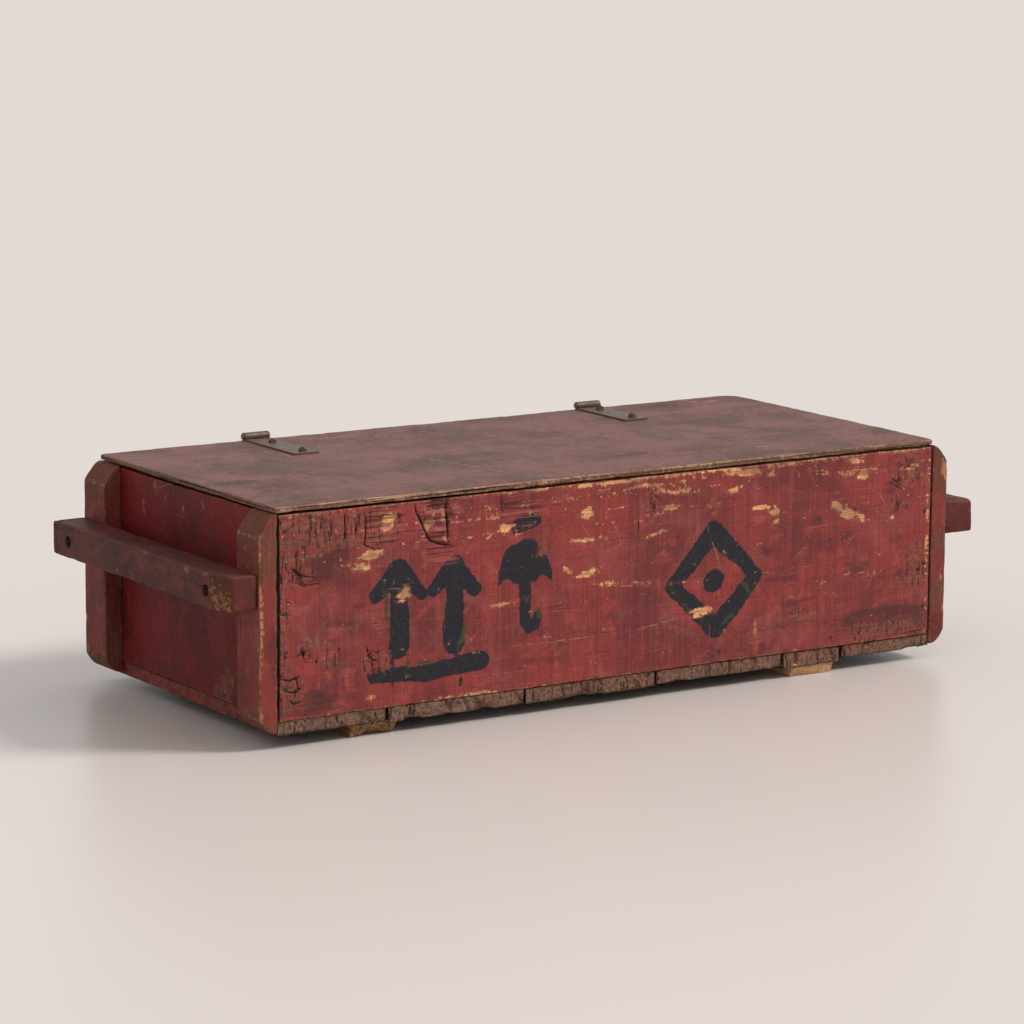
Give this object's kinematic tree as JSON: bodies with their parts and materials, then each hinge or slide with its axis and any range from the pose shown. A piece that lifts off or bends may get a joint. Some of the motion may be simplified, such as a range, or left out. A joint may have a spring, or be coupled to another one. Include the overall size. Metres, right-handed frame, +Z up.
{
  "type": "shipping crate",
  "caption": "Long low wooden shipping crate, painted red, with a bar handle across each end and a flat lid on strap hinges.",
  "frame": {"origin": "on the ground under the middle of the crate", "axes": "+X to the right along the length, seen from the front; +Y to the back, where the hinges are; +Z up"},
  "size_m": [1.316, 0.5352, 0.3542],
  "materials": {
    "red_paint": "worn brick red paint over board, matt",
    "end_paint": "dark red paint over board, matt",
    "batten_paint": "worn red paint with bare ochre edges, matt",
    "handle_wood": "hand-worn dark purple-brown paint, satin",
    "lid_paint": "scuffed mauve-brown paint, satin",
    "floor_wood": "weathered grey-brown wood with traces of red paint",
    "runner_wood": "bare rough wood",
    "hinge_iron": "rusty dark iron",
    "bolt_iron": "rusty dark iron",
    "nail_iron": "dark oxidised iron"
  },
  "bodies": {
    "crate": {"front_panel": "red_paint", "back_panel": "red_paint", "left_end_panel": "end_paint", "right_end_panel": "end_paint", "left_front_batten": "batten_paint", "left_rear_batten": "batten_paint", "right_front_batten": "batten_paint", "right_rear_batten": "batten_paint", "left_handle": "handle_wood", "right_handle": "handle_wood", "bottom_board_1": "floor_wood", "bottom_board_2": "floor_wood", "bottom_board_3": "floor_wood", "bottom_board_4": "floor_wood", "bottom_board_5": "floor_wood", "bottom_board_6": "floor_wood", "left_runner": "runner_wood", "right_runner": "runner_wood", "left_hinge_back_leaf": "hinge_iron", "right_hinge_back_leaf": "hinge_iron", "left_hinge_pin": "hinge_iron", "right_hinge_pin": "hinge_iron", "hinge_leaf_bolts": "bolt_iron", "hinge_leaf_nuts": "bolt_iron", "handle_bolts": "bolt_iron", "handle_nuts": "bolt_iron", "handle_washers": "bolt_iron", "front_panel_nails": "nail_iron", "back_panel_nails": "nail_iron", "batten_nails": "nail_iron", "bottom_board_nails": "nail_iron", "runner_nails": "nail_iron"},
    "lid": {"lid_panel": "lid_paint", "left_hinge_strap": "hinge_iron", "right_hinge_strap": "hinge_iron", "hinge_strap_bolts": "bolt_iron", "hinge_strap_nuts": "bolt_iron", "hinge_strap_washers": "bolt_iron"}
  },
  "joints": [
    {"name": "lid_hinge", "type": "hinge", "parent": "crate", "child": "lid", "pos_m": [0, 0.25972, 0.34838], "axis": [-1, 0, 0], "range_deg": [0, 220]}
  ]
}
